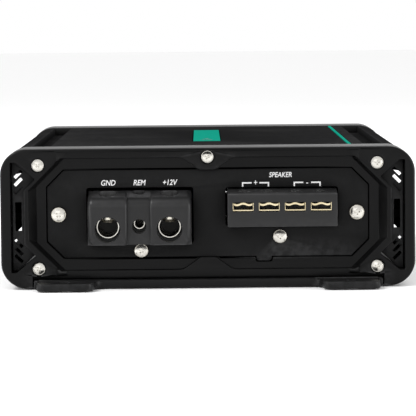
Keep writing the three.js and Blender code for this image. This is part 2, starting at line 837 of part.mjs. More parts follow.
function addEnd(group, end) {
  piece(group, `${end}_end_cap`, endCap(), blackCoat);
  piece(group, `${end}_vent_grille_left`, ventGrille(-1), blackPlastic);
  piece(group, `${end}_vent_grille_right`, ventGrille(1), blackPlastic);
  const names = ['upper_left', 'upper_right', 'lower_left', 'lower_right', 'centre'];
  capScrewPlaces().forEach(([x, z], i) => {
    const seat = (x === 0 ? barFloor : 0) + counterboreDepth - gap;
    piece(group, `${end}_cap_screw_${names[i]}`, screw(capHead, capScrewLength), nickel, [x, seat, z]);
  });
  panelScrewPlaces().forEach(([x, z], i) => {
    piece(group, `${end}_panel_screw_${['left', 'right'][i]}`, screw(panelHead, panelScrewLength), nickel,
      [x, panelFace - gap, z]);
  });
}

function addPowerTerminals(group) {
  piece(group, 'power_terminal_block', powerBlock(), blockPlastic);
  const [groundX, positiveX] = powerWireX;
  const wide = {
    bore: powerBore, screw: setScrewDiameter, y: setScrewY, z: powerWireZ, drop: setScrewTipDrop,
  };
  const slim = {
    bore: remoteBore, screw: remoteSetScrewDiameter, y: remoteScrewY, z: remoteZ, drop: remoteTipDrop,
  };
  const entries = [['ground', groundX, wide], ['remote', remoteX, slim], ['positive', positiveX, wide]];
  for (const [name, x, entry] of entries) {
    const front = entry.y - setScrewDepth + barrelSetback;
    piece(group, `${name}_wire_barrel`, wireBarrel(entry.bore, entry.screw, front, entry.y), nickel,
      [x, 0, entry.z + barrelLift]);
    const tip = entry.z + barrelLift + entry.bore / 2 - barrelWall - entry.drop;
    const length = setScrewTop - tip;
    piece(group, `${name}_set_screw`, setScrew(entry.screw, length), screwSteel, [x, entry.y, tip]);
  }
  piece(group, 'power_block_screw', screw(blockHead, panelScrewLength), nickel,
    [powerScrewX, panelFace - gap, powerScrewZ]);
}

function addSpeakerTerminals(group) {
  piece(group, 'speaker_terminal_block', speakerBlock(), blockPlastic);
  for (let i = 0; i < speakerCount; i += 1) {
    piece(group, `speaker_clamp_${i + 1}`, speakerClamp(), brass, [speakerX(i), clampFront, clampLow]);
    const tip = clampLow + clampWall + clampTravel + gap;
    piece(group, `speaker_screw_${i + 1}`, setScrew(clampScrewDiameter, speakerHigh - 1 - tip), nickel,
      [speakerX(i), clampFront + clampLength / 2, tip]);
  }
  piece(group, 'speaker_block_screw', screw(blockHead, panelScrewLength), nickel,
    [speakerScrewX, panelFace - gap, speakerScrewZ]);
}

function frontPanel() {
  const from = panelFace - overcut;
  const to = panelBack + overcut;
  const places = [...panelScrewPlaces(), [powerScrewX, powerScrewZ], [speakerScrewX, speakerScrewZ]];
  return cut(panelBlank(), [
    solid(faceSlab(roundedRectangle(powerLeft - pocketSide, powerRight + pocketSide, powerLow - gap,
      powerHigh + pocketTop, pocketCorner), from, to)),
    solid(faceSlab(roundedRectangle(speakerLeft - pocketSide, speakerRight + pocketSide, speakerLow - gap,
      speakerHigh + pocketTop / 2, pocketCorner), from, to)),
    ...places.map(([x, z]) => panelScrewHole(x, z)),
  ]);
}

function addControls(group) {
  piece(group, 'rear_panel', rearPanel(), panelCoat);
  knobNames.forEach((name, i) => piece(group, name, knob(), blackPlastic, [knobX(i), knobFront, knobZ]));
  piece(group, 'input_jack_block', jackBlock(), brass);
  piece(group, 'filter_switch', switchSlider(), blackPlastic, [switchX, switchFront, switchZ]);
  piece(group, 'remote_level_socket', remoteSocket(), blackPlastic, [socketX, 0, socketZ]);
  piece(group, 'status_light', barY(0, 0, panelFace - 0.5, panelBack + 1, lightRadius, 12), lightLens,
    [lightX, 0, lightZ]);
}

function addTopTrim(group) {
  const half = sinkLength / 2;
  piece(group, 'accent_strip', block(
    -stripWidth / 2, stripWidth / 2, -half, half, -stripDepth, 0,
  ), tealTrim, [stripX, 0, sinkTop]);
  piece(group, 'badge', block(
    -badgeWidth / 2, badgeWidth / 2, -badgeLength / 2, badgeLength / 2, -badgeDepth, 0,
  ), badgeMetal, [0, 0, sinkTop + badgeProud]);
}

function circuitBoard() {
  const half = boardLength / 2;
  return solid(block(-boardHalf, boardHalf, -half, half, 0, boardThickness));
}

function addElectronics(group) {
  const rest = boardTop + gap;
  piece(group, 'circuit_board', circuitBoard(), boardGreen, [0, 0, boardZ]);
  piece(group, 'power_transformer', new THREE.TorusGeometry(transformerRadius - transformerTube / 2,
    transformerTube, 10, 24), copper, [...transformerPlace, rest + transformerTube]);
  piece(group, 'output_choke', new THREE.TorusGeometry(chokeRadius, chokeTube, 8, 18), copper,
    [...chokePlace, rest + chokeTube]);
  ['left', 'right'].forEach((side, i) => {
    const sign = i ? 1 : -1;
    piece(group, `filter_capacitor_${side}`, barZ(0, 0, 0, capacitorHeight, capacitorRadius, 20), blackPlastic,
      [capacitorPlace[0] + sign * capacitorPitch / 2, capacitorPlace[1], rest]);
    const outer = sinkInner - gap;
    piece(group, `output_module_${side}`, transistorBank(sign), blackPlastic,
      [sign * (outer - transistorDepth / 2), 0, rest]);
  });
}

// A row of power transistors held against the wall by one clamp bar.
function transistorBank(side) {
  const half = transistorDepth / 2;
  const reach = (transistorCount - 1) * transistorPitch / 2;
  const inner = -side * (half + clampBarDepth / 2);
  let bank = solid(block(
    inner - clampBarDepth / 2 - clampBarBite, inner + clampBarDepth / 2 + clampBarBite, -reach - transistorWidth,
    reach + transistorWidth, transistorHeight / 2, transistorHeight / 2 + clampBarHeight,
  ));
  for (let i = 0; i < transistorCount; i += 1) {
    const y = i * transistorPitch - reach;
    bank = bank.add(solid(block(-half, half, y - transistorWidth / 2, y + transistorWidth / 2, 0, transistorHeight)));
  }
  return bank;
}

const frontEnd = new THREE.Group();
frontEnd.position.y = -bodyLength / 2;
addEnd(frontEnd, 'front');
piece(frontEnd, 'front_panel', frontPanel(), panelCoat);
addPowerTerminals(frontEnd);
addSpeakerTerminals(frontEnd);

const rearEnd = new THREE.Group();
rearEnd.position.y = bodyLength / 2;
rearEnd.rotation.z = Math.PI;
addEnd(rearEnd, 'rear');
addControls(rearEnd);

piece(amplifier, 'heatsink', heatsink(), blackCoat);
piece(amplifier, 'base_plate', basePlate(), blackCoat);
addTopTrim(amplifier);
addElectronics(amplifier);
amplifier.add(frontEnd, rearEnd);

export default amplifier;
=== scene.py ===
# Compact car amplifier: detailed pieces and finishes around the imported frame.
# Metres, +Z up. The connection end faces -Y, the control end faces +Y.
import json
import math
import random

import bmesh
import bpy
from mathutils import Matrix, Vector


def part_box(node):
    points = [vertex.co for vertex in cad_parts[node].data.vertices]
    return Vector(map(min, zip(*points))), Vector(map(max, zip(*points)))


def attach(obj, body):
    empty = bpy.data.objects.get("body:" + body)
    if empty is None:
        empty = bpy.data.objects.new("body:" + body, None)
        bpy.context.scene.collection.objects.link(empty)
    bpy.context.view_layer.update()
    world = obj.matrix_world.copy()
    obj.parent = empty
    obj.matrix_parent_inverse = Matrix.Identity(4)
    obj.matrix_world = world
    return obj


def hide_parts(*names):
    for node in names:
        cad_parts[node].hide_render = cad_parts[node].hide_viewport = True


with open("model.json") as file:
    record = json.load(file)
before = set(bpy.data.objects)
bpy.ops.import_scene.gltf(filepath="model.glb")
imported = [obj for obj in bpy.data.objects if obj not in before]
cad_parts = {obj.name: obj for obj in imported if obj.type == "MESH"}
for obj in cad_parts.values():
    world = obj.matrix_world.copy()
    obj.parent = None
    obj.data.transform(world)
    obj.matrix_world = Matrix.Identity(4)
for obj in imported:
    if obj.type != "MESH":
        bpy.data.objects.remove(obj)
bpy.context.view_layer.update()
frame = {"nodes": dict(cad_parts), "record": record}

MM = 0.001
RECORD = frame["record"]
BODY_OF = {node: body for body, nodes in RECORD["behaviour"]["bodies"].items() for node in nodes}
SLOT_OF = {part["node"]: part["material_slot"] for part in RECORD["subparts"]}

# ---------------------------------------------------------------- camera
CAMERA_DISTANCE = 0.950  # from the front face
CAMERA_SIDE = -0.0022
CAMERA_HEIGHT = 0.1051
CAMERA_PITCH = 0.0781
CAMERA_ROLL = 0.0092
CAMERA_YAW = -0.0024
CAMERA_LENS = 213.98
SENSOR_WIDTH = 36


def make_camera():
    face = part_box("front_end_cap")[0].y
    yaw, pitch, roll = CAMERA_YAW, CAMERA_PITCH, CAMERA_ROLL
    right = Vector((math.cos(yaw), math.sin(yaw), 0))
    ahead = Vector((-math.sin(yaw), math.cos(yaw), 0))
    forward = ahead * math.cos(pitch) - Vector((0, 0, 1)) * math.sin(pitch)
    up = ahead * math.sin(pitch) + Vector((0, 0, 1)) * math.cos(pitch)
    across = right * math.cos(roll) - up * math.sin(roll)
    top = right * math.sin(roll) + up * math.cos(roll)
    turn = Matrix((across, top, -forward)).transposed().to_4x4()
    data = bpy.data.cameras.new("camera")
    data.lens = CAMERA_LENS
    data.sensor_width = SENSOR_WIDTH
    data.clip_start = 0.01
    camera = bpy.data.objects.new("camera", data)
    camera.matrix_world = Matrix.Translation((CAMERA_SIDE, face - CAMERA_DISTANCE, CAMERA_HEIGHT)) @ turn
    bpy.context.scene.collection.objects.link(camera)
    bpy.context.scene.camera = camera


# ---------------------------------------------------------------- stage and light
FLOOR_HALF = 6
FLOOR_DROP = 0.4 * MM  # the floor lies just below the base
FLOOR_COLOR = (0.94, 0.94, 0.94, 1)
FLOOR_ROUGHNESS = 0.9
WORLD_STRENGTH = 1.0
# name: place, aim, (width, height), power in watts
LIGHTS = {
    "key_light": ((-0.75, -0.35, 1.05), (0, -0.05, 0.02), (0.5, 0.4), 9),
    "left_strip": ((-0.9, -0.38, 0.2), (0.05, -0.1, 0.04), (0.25, 0.4), 2),
    "right_strip": ((0.9, -0.38, 0.2), (-0.05, -0.1, 0.04), (0.25, 0.4), 3.5),
    "front_fill": ((-0.25, -1.3, 0.5), (0, -0.1, 0.03), (1.0, 0.5), 1.2),
    "rim_light": ((0.6, 0.9, 0.8), (0, 0, 0.03), (0.8, 0.4), 4),
}


def make_light(name, place, aim, size, power):
    data = bpy.data.lights.new(name, "AREA")
    data.shape = "RECTANGLE"
    data.size, data.size_y = size
    data.energy = power
    light = bpy.data.objects.new(name, data)
    light.location = place
    light.rotation_euler = (Vector(aim) - Vector(place)).to_track_quat("-Z", "Y").to_euler()
    bpy.context.scene.collection.objects.link(light)


def make_floor():
    bm = bmesh.new()
    bmesh.ops.create_grid(bm, x_segments=1, y_segments=1, size=FLOOR_HALF)
    mesh = bpy.data.meshes.new("floor")
    bm.to_mesh(mesh)
    bm.free()
    floor = bpy.data.objects.new("floor", mesh)
    floor.data.transform(Matrix.Translation((0, 0, -FLOOR_DROP)))
    bpy.context.scene.collection.objects.link(floor)
    material, _, _, shader = new_material("floor_paint")
    shader.inputs["Base Color"].default_value = FLOOR_COLOR
    shader.inputs["Roughness"].default_value = FLOOR_ROUGHNESS
    mesh.materials.append(material)


def make_world():
    world = bpy.data.worlds.new("studio")
    world.use_nodes = True
    background = world.node_tree.nodes["Background"]
    background.inputs["Color"].default_value = (1, 1, 1, 1)
    background.inputs["Strength"].default_value = WORLD_STRENGTH
    bpy.context.scene.world = world
    bpy.context.scene.view_settings.view_transform = "Standard"


def make_stage():
    make_floor()
    make_world()
    for name, (place, aim, size, power) in LIGHTS.items():
        make_light(name, place, aim, size, power)


# ---------------------------------------------------------------- shader groups
def new_material(name):
    material = bpy.data.materials.new(name)
    material.use_nodes = True
    tree = material.node_tree
    return material, tree.nodes, tree.links, tree.nodes["Principled BSDF"]


def new_group(name, inputs, outputs):
    group = bpy.data.node_groups.new(name, "ShaderNodeTree")
    for label, kind, value in inputs:
        socket = group.interface.new_socket(name=label, in_out="INPUT", socket_type=kind)
        if value is not None:
            socket.default_value = value
    for label, kind in outputs:
        group.interface.new_socket(name=label, in_out="OUTPUT", socket_type=kind)
    start = group.nodes.new("NodeGroupInput")
    end = group.nodes.new("NodeGroupOutput")
    return group, group.nodes, group.links, start, end


def add_noise(nodes, links, vector, scale, detail, roughness=0.5):
    noise = nodes.new("ShaderNodeTexNoise")
    noise.inputs["Detail"].default_value = detail
    noise.inputs["Roughness"].default_value = roughness
    if isinstance(scale, (int, float)):
        noise.inputs["Scale"].default_value = scale
    else:
        links.new(scale, noise.inputs["Scale"])
    links.new(vector, noise.inputs["Vector"])
    return noise


def add_math(nodes, links, operation, first, second=None, clamp=False):
    node = nodes.new("ShaderNodeMath")
    node.operation = operation
    node.use_clamp = clamp
    for socket, value in zip(node.inputs, (first, second)):
        if value is None:
            continue
        if isinstance(value, (int, float)):
            socket.default_value = value
        else:
            links.new(value, socket)
    return node.outputs[0]


def add_range(nodes, links, value, from_low, from_high, to_low, to_high):
    node = nodes.new("ShaderNodeMapRange")
    numbers = {"From Min": from_low, "From Max": from_high, "To Min": to_low, "To Max": to_high}
    links.new(value, node.inputs["Value"])
    for label, number in numbers.items():
        if isinstance(number, (int, float)):
            node.inputs[label].default_value = number
        else:
            links.new(number, node.inputs[label])
    return node.outputs["Result"]


def add_mix(nodes, links, factor, first, second):
    node = nodes.new("ShaderNodeMix")
    node.data_type = "RGBA"
    links.new(factor, node.inputs["Factor"])
    for socket, value in ((node.inputs["A"], first), (node.inputs["B"], second)):
        if isinstance(value, (tuple, list)):
            socket.default_value = value
        else:
            links.new(value, socket)
    return node.outputs["Result"]


SMEAR_SCALE = 28
SPECK_SCALE = 420
TARNISH_SCALE = 160
DUST_COLOR = (0.32, 0.31, 0.3, 1)


def edge_wear_and_highlight_mask(nodes, links, place, geometry, amount):
    """Ragged lighter colour along convex edges: partly real wear, partly a painted highlight on the edges.
    """
    speck = add_noise(nodes, links, place, SPECK_SCALE, 2)
    edge = add_range(nodes, links, geometry.outputs["Pointiness"], 0.53, 0.62, 0, 1)
    flakes = add_range(nodes, links, speck.outputs["Fac"], 0.35, 0.6, 0.3, 1)
    ragged = add_math(nodes, links, "MULTIPLY", edge, flakes)
    return add_math(nodes, links, "MULTIPLY", ragged, amount, clamp=True)


def dust_mask(nodes, links, geometry, smear, amount):
    """Patchy dust on faces that look up."""
    facing = nodes.new("ShaderNodeSeparateXYZ")
    links.new(geometry.outputs["Normal"], facing.inputs[0])
    upward = add_range(nodes, links, facing.outputs["Z"], 0.5, 1, 0, 1)
    patch = add_range(nodes, links, smear.outputs["Fac"], 0.45, 0.7, 0.15, 1)
    settled = add_math(nodes, links, "MULTIPLY", upward, patch)
    return add_math(nodes, links, "MULTIPLY", settled, amount)


def make_coat_group():
    """Colour, roughness and height of a paint or plastic skin: grain, smears, convex edges painted lighter
    as wear and as a painted highlight, and dust.
    """
    group, nodes, links, start, end = new_group(
        "coat_surface",
        [
            ("Color", "NodeSocketColor", (0.03, 0.03, 0.03, 1)),
            ("Worn And Highlight Color", "NodeSocketColor", (0.1, 0.1, 0.1, 1)),
            ("Grain Scale", "NodeSocketFloat", 1800.0),
            ("Roughness Low", "NodeSocketFloat", 0.35),
            ("Roughness High", "NodeSocketFloat", 0.5),
            ("Edge Wear And Highlight", "NodeSocketFloat", 0.5),
            ("Dust", "NodeSocketFloat", 0.1),
        ],
        [("Color", "NodeSocketColor"), ("Roughness", "NodeSocketFloat"), ("Height", "NodeSocketFloat")],
    )
    place = nodes.new("ShaderNodeTexCoord").outputs["Object"]
    geometry = nodes.new("ShaderNodeNewGeometry")
    grain = add_noise(nodes, links, place, start.outputs["Grain Scale"], 3)
    smear = add_noise(nodes, links, place, SMEAR_SCALE, 4, 0.6)
    # Convex edges take the second colour: partly real wear, partly a painted highlight along the edges.
    worn_and_lit = edge_wear_and_highlight_mask(nodes, links, place, geometry, start.outputs["Edge Wear And Highlight"])
    color = add_mix(nodes, links, worn_and_lit, start.outputs["Color"], start.outputs["Worn And Highlight Color"])
    dust = dust_mask(nodes, links, geometry, smear, start.outputs["Dust"])
    color = add_mix(nodes, links, dust, color, DUST_COLOR)
    links.new(color, end.inputs["Color"])
    rough = add_range(
        nodes, links, smear.outputs["Fac"], 0.3, 0.7,
        start.outputs["Roughness Low"], start.outputs["Roughness High"],
    )
    links.new(rough, end.inputs["Roughness"])
    links.new(grain.outputs["Fac"], end.inputs["Height"])
    return group


def make_metal_group():
    """Colour and roughness of bare or plated metal: fine scratches along one axis and handling marks."""
    group, nodes, links, start, end = new_group(
        "metal_surface",
        [
            ("Color", "NodeSocketColor", (0.6, 0.58, 0.55, 1)),
            ("Dark Color", "NodeSocketColor", (0.3, 0.28, 0.26, 1)),
            ("Stretch", "NodeSocketVector", (1, 1, 1)),
            ("Scratch Scale", "NodeSocketFloat", 900.0),
            ("Roughness Low", "NodeSocketFloat", 0.18),
            ("Roughness High", "NodeSocketFloat", 0.38),
        ],
        [("Color", "NodeSocketColor"), ("Roughness", "NodeSocketFloat"), ("Height", "NodeSocketFloat")],
    )
    place = nodes.new("ShaderNodeTexCoord").outputs["Object"]
    stretched = nodes.new("ShaderNodeVectorMath")
    stretched.operation = "MULTIPLY"
    links.new(place, stretched.inputs[0])
    links.new(start.outputs["Stretch"], stretched.inputs[1])
    scratch = add_noise(nodes, links, stretched.outputs[0], start.outputs["Scratch Scale"], 4, 0.7)
    tarnish = add_noise(nodes, links, place, TARNISH_SCALE, 3)
    shade = add_range(nodes, links, tarnish.outputs["Fac"], 0.35, 0.75, 0, 0.6)
    color = add_mix(nodes, links, shade, start.outputs["Color"], start.outputs["Dark Color"])
    links.new(color, end.inputs["Color"])
    rough = add_range(
        nodes, links, scratch.outputs["Fac"], 0.3, 0.7,
        start.outputs["Roughness Low"], start.outputs["Roughness High"],
    )
    links.new(rough, end.inputs["Roughness"])
    links.new(scratch.outputs["Fac"], end.inputs["Height"])
    return group


COAT = make_coat_group()
METAL = make_metal_group()


def use_group(material_parts, group, values, bump_strength, bump_distance):
    material, nodes, links, shader = material_parts
    surface = nodes.new("ShaderNodeGroup")
    surface.node_tree = group
    for label, value in values.items():
        surface.inputs[label].default_value = value
    links.new(surface.outputs["Color"], shader.inputs["Base Color"])
    links.new(surface.outputs["Roughness"], shader.inputs["Roughness"])
    bump = nodes.new("ShaderNodeBump")
    bump.inputs["Strength"].default_value = bump_strength
    bump.inputs["Distance"].default_value = bump_distance
    links.new(surface.outputs["Height"], bump.inputs["Height"])
    links.new(bump.outputs["Normal"], shader.inputs["Normal"])
    return material


MATERIALS = {}
COAT_BUMP = 0.1 * MM
METAL_BUMP = 0.05 * MM
METAL_BUMP_STRENGTH = 0.08


def grey(level):
    return (level, level, level * 1.03, 1)


def coat(name, color, worn_and_lit, rough, grain=1800, edge_wear_and_highlight=0.5, dust=0.02, bump=0.15, specular=0.25):
    """A paint or plastic: base colour, the lighter edge colour that stands for wear and a painted
    highlight, and its lowest and highest roughness.
    """
    parts = new_material(name)
    parts[3].inputs["Specular IOR Level"].default_value = specular
    values = {
        "Color": color, "Worn And Highlight Color": worn_and_lit, "Grain Scale": grain, "Roughness Low": rough[0],
        "Roughness High": rough[1], "Edge Wear And Highlight": edge_wear_and_highlight, "Dust": dust,
    }
    MATERIALS[name] = use_group(parts, COAT, values, bump, COAT_BUMP)


def metal(name, color, dark, rough):
    """A bare or plated metal: bright colour, dark colour and its lowest and highest roughness."""
    parts = new_material(name)
    parts[3].inputs["Metallic"].default_value = 1
    values = {
        "Color": color, "Dark Color": dark, "Stretch": (1, 1, 1), "Scratch Scale": 900,
        "Roughness Low": rough[0], "Roughness High": rough[1],
    }
    MATERIALS[name] = use_group(parts, METAL, values, METAL_BUMP_STRENGTH, METAL_BUMP)


def case_materials():
    # Each coat's second colour lights its convex edges: partly wear, partly a painted highlight.
    teal, teal_wear_and_highlight = (0.004, 0.2, 0.14, 1), (0.01, 0.26, 0.19, 1)
    coat("heatsink_coat", grey(0.009), grey(0.05), (0.6, 0.72), grain=1500, specular=0.0)
    coat("cap_coat", grey(0.003), grey(0.1), (0.32, 0.42), grain=2200, bump=0.18, specular=0.12)
    coat("grille_plastic", grey(0.012), grey(0.05), (0.5, 0.62), specular=0.2)
    coat("panel_coat", grey(0.005), grey(0.05), (0.5, 0.55), grain=2600, bump=0.3, specular=0.12)
    coat("base_coat", grey(0.0045), grey(0.1), (0.36, 0.46), specular=0.14)
    coat("accent_teal", teal, teal_wear_and_highlight, (0.5, 0.6), specular=0.0)
    coat("badge_metal", teal, teal_wear_and_highlight, (0.5, 0.6), specular=0.0)


def terminal_materials():
    # Each coat's second colour lights its convex edges: partly wear, partly a painted highlight.
    coat("block_plastic", grey(0.012), grey(0.1), (0.32, 0.44), grain=2400, bump=0.12)
    metal("nickel", (0.7, 0.68, 0.63, 1), (0.42, 0.4, 0.36, 1), (0.16, 0.34))
    metal("set_screw_steel", (0.8, 0.77, 0.68, 1), (0.5, 0.46, 0.38, 1), (0.22, 0.36))
    metal("brass", (0.78, 0.68, 0.46, 1), (0.55, 0.45, 0.26, 1), (0.2, 0.36))


def control_materials():
    # Each coat's second colour lights its convex edges: partly wear, partly a painted highlight.
    white, pale = (0.8, 0.8, 0.8, 1), (0.7, 0.69, 0.66, 1)
    red, red_wear_and_highlight = (0.45, 0.02, 0.02, 1), (0.6, 0.1, 0.1, 1)
    coat("knob_plastic", grey(0.014), grey(0.06), (0.35, 0.5))
    coat("marking_white", white, white, (0.5, 0.6), edge_wear_and_highlight=0, dust=0)
    coat("jack_red", red, red_wear_and_highlight, (0.3, 0.4), edge_wear_and_highlight=0.1, dust=0.01)
    coat("jack_white", pale, white, (0.3, 0.4), edge_wear_and_highlight=0.1, dust=0.01)
    coat("light_lens", (0.35, 0.6, 0.85, 1), (0.5, 0.7, 0.9, 1), (0.08, 0.15), edge_wear_and_highlight=0.1)


def inner_materials():
    coat("board", (0.01, 0.09, 0.04, 1), (0.05, 0.2, 0.1, 1), (0.35, 0.5))
    metal("winding", (0.45, 0.2, 0.09, 1), (0.25, 0.09, 0.04, 1), (0.25, 0.4))
    coat("component_black", grey(0.012), grey(0.05), (0.35, 0.5))
    coat("sleeve_blue", (0.01, 0.02, 0.08, 1), (0.03, 0.05, 0.15, 1), (0.3, 0.4), edge_wear_and_highlight=0.1)
    metal("can_metal", (0.7, 0.7, 0.7, 1), (0.5, 0.5, 0.5, 1), (0.25, 0.4))


case_materials()
terminal_materials()
control_materials()
inner_materials()

# ---------------------------------------------------------------- mesh helpers
SHARP = math.radians(24)  # edges sharper than this are rounded
CREASE = math.radians(35)  # edges sharper than this stay creased
FLAT = math.radians(0.5)  # flatter edges than this are dissolved
ORIGIN = (0, 0, 0)
QUARTER = math.pi / 2


def smooth_by_angle(bm):
    for face in bm.faces:
        face.smooth = True
    for edge in bm.edges:
        edge.smooth = not (edge.is_manifold and edge.calc_face_angle(0) > CREASE)


def object_from(bm, name):
    mesh = bpy.data.meshes.new(name)
    bm.to_mesh(mesh)
    bm.free()
    piece = bpy.data.objects.new(name, mesh)
    bpy.context.scene.collection.objects.link(piece)
    return piece


def dress(piece, node, slot=None, replaced=()):
    """The piece rides where that CAD node rides and takes a slot's finish."""
    slot = slot or SLOT_OF[node]
    piece.data.materials.clear()
    piece.data.materials.append(MATERIALS[slot])
    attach(piece, BODY_OF[node])
    if replaced:
        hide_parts(*replaced)
    return piece


def finish_piece(bm, name, node, slot=None, replaced=()):
    bmesh.ops.recalc_face_normals(bm, faces=bm.faces)
    smooth_by_angle(bm)
    return dress(object_from(bm, name), node, slot, replaced)


def merged_copy(node):
    """A CAD node as a clean mesh: joined corners, few needless edges, no large concave faces."""
    bm = bmesh.new()
    bm.from_mesh(frame["nodes"][node].data)
    bmesh.ops.remove_doubles(bm, verts=bm.verts, dist=1e-6)
    bmesh.ops.dissolve_limit(
        bm, angle_limit=FLAT, verts=bm.verts, edges=bm.edges, use_dissolve_boundaries=False,
    )
    bmesh.ops.triangulate(bm, faces=[f for f in bm.faces if len(f.verts) > 4], ngon_method="BEAUTY")
    return bm


def round_edges(bm, radius, segments=2, wanted=None):
    edges = [e for e in bm.edges if e.is_manifold and e.calc_face_angle(0) > SHARP]
    if wanted:
        edges = [e for e in edges if wanted(e)]
    bmesh.ops.bevel(
        bm, geom=edges, offset=radius, offset_type="OFFSET", segments=segments, profile=0.5,
        affect="EDGES", clamp_overlap=False, loop_slide=False, material=-1,
    )


def rounded_copy(node, radius, segments=2):
    """The same shape as a CAD node with its sharp edges rounded."""
    bm = merged_copy(node)
    round_edges(bm, radius, segments)
    return finish_piece(bm, node + "_shell", node, replaced=[node])


def box_shape(low, high, radius=0.0, segments=2):
    low, high = Vector(low), Vector(high)
    bm = bmesh.new()
    bmesh.ops.create_cube(bm, size=1)
    bmesh.ops.scale(bm, vec=high - low, verts=bm.verts)
    translate(bm, (high + low) / 2)
    if radius:
        round_edges(bm, radius, segments)
    return bm


def rotate(bm, angle, axis):
    """Turns a shape about an axis through the origin."""
    bmesh.ops.rotate(bm, cent=ORIGIN, matrix=Matrix.Rotation(angle, 3, axis), verts=bm.verts)


def translate(bm, offset):
    bmesh.ops.translate(bm, vec=offset, verts=bm.verts)


def turned_shape(profile, steps=40):
    """A shape turned round Y from (radius, y) points, whose ends lie on the axis or meet."""
    bm = bmesh.new()
    points = [bm.verts.new((radius, y, 0)) for radius, y in profile]
    edges = [bm.edges.new(pair) for pair in zip(points, points[1:])]
    bmesh.ops.spin(
        bm, geom=points + edges, cent=ORIGIN, axis=(0, 1, 0), dvec=ORIGIN, angle=math.tau,
        steps=steps, use_merge=True, use_duplicate=False,
    )
    bmesh.ops.remove_doubles(bm, verts=bm.verts, dist=1e-7)
    return bm


def arc_points(centre, radius, start, end, count):
    """Points (radius, y) on an arc, angles in degrees from the outward direction."""
    angles = [math.radians(start + (end - start) * i / count) for i in range(count + 1)]
    return [(centre[0] + radius * math.cos(a), centre[1] + radius * math.sin(a)) for a in angles]


def join_shapes(*shapes):
    whole = bmesh.new()
    for shape in shapes:
        mesh = bpy.data.meshes.new("part")
        shape.to_mesh(mesh)
        shape.free()
        whole.from_mesh(mesh)
        bpy.data.meshes.remove(mesh)
    return whole


def carve(body, cutter):
    """body less cutter, both bmeshes; gives a new bmesh."""
    for shape in (body, cutter):
        bmesh.ops.recalc_face_normals(shape, faces=shape.faces)
    base, tool = object_from(body, "carve_base"), object_from(cutter, "carve_tool")
    modifier = base.modifiers.new("carve", "BOOLEAN")
    modifier.operation = "DIFFERENCE"
    modifier.solver = "EXACT"
    modifier.use_self = True
    modifier.object = tool
    mesh = bpy.data.meshes.new_from_object(base.evaluated_get(bpy.context.evaluated_depsgraph_get()))
    result = bmesh.new()
    result.from_mesh(mesh)
    for item in (base, tool):
        data = item.data
        bpy.data.objects.remove(item)
        bpy.data.meshes.remove(data)
    bpy.data.meshes.remove(mesh)
    return result


def centre_of(node):
    low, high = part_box(node)
    return (low + high) / 2


def outward(node):
    """-1 for a node at the connection end, +1 at the control end."""
    low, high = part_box(node)
    return -1 if low.y + high.y < 0 else 1


def place_facing(bm, side, place):
    """Takes a shape that faces -Y round its own origin to its place on the front or rear end."""
    turn = Matrix.Rotation(math.pi, 4, "Z") if side > 0 else Matrix.Identity(4)
    bmesh.ops.transform(bm, matrix=Matrix.Translation(place) @ turn, verts=bm.verts)


# ---------------------------------------------------------------- screws
SCREW_HEAD = 1.7 * MM
SCREW_SHANK = 1.25 * MM
FIRST_TWIST = 0.35
TWIST_STEP = 0.7
CROWN_SHARE = 1.7  # crown radius over head radius
HEAD_RIM = ((0.97, 0.68), (1, 0.5), (1, 0.1), (0.96, 0))  # shares of the head's radius and height
CROSS_TAPER = (0.45, 1, 0.7)
CROSS_SHARES = (1.05, 0.24, 0.6)  # length and width over radius, depth over height


def cross_cutter(length, width, depth):
    """A tapered cross: the driver recess of a screw, its mouth at y = 0."""
    blades = []
    for turn in (0, QUARTER):
        blade = bmesh.new()
        bmesh.ops.create_cube(blade, size=1)
        bmesh.ops.scale(blade, vec=(length, depth * 2, width), verts=blade.verts)
        inner = [v for v in blade.verts if v.co.y > 0]
        bmesh.ops.scale(blade, vec=CROSS_TAPER, verts=inner)
        rotate(blade, turn, "Y")
        blades.append(blade)
    return join_shapes(*blades)


def domed_screw(radius, height, length, twist):
    """A pan head with a soft crown and a cross recess; the underside of the head is at y = 0."""
    bulge = radius * CROWN_SHARE
    crown = arc_points((0, -height + bulge), bulge, -90, -58, 7)
    rim = [(radius * across, -height * up) for across, up in HEAD_RIM]
    shank = [(SCREW_SHANK, 0), (SCREW_SHANK, length), (0, length)]
    head = turned_shape(crown + rim + shank, 36)
    long, wide, deep = CROSS_SHARES
    recess = cross_cutter(radius * long, radius * wide, height * deep)
    rotate(recess, twist, "Y")
    translate(recess, (0, -height, 0))
    return carve(head, recess)


def is_fastener(node):
    return "_cap_screw_" in node or "_panel_screw_" in node or node.endswith("_block_screw")


def make_screws():
    for index, node in enumerate(sorted(filter(is_fastener, frame["nodes"]))):
        low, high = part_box(node)
        side = outward(node)
        seat = low.y + SCREW_HEAD if side < 0 else high.y - SCREW_HEAD
        length = (high.y - low.y) - SCREW_HEAD
        twist = FIRST_TWIST + index * TWIST_STEP
        screw = domed_screw((high.z - low.z) / 2, SCREW_HEAD, length, twist)
        place_facing(screw, side, ((low.x + high.x) / 2, seat, (low.z + high.z) / 2))
        finish_piece(screw, node + "_detail", node, replaced=[node])


def set_screw_shape(radius, height):
    """A set screw standing on its tapered tip, with a hexagon socket in its top."""
    edge = radius * 0.16
    profile = [(0, 0), (radius * 0.62, 0), (radius, radius * 0.38), (radius, height - edge)]
    profile += [(radius - edge, height), (0, height)]
    body = turned_shape(profile, 32)
    hexagon = bmesh.new()
    across = radius * 0.55
    bmesh.ops.create_cone(
        hexagon, cap_ends=True, cap_tris=False, segments=6, radius1=across, radius2=across, depth=height,
    )
    rotate(hexagon, QUARTER, "X")
    translate(hexagon, (0, height * 1.1, 0))
    screw = carve(body, hexagon)
    rotate(screw, QUARTER, "X")
    return screw


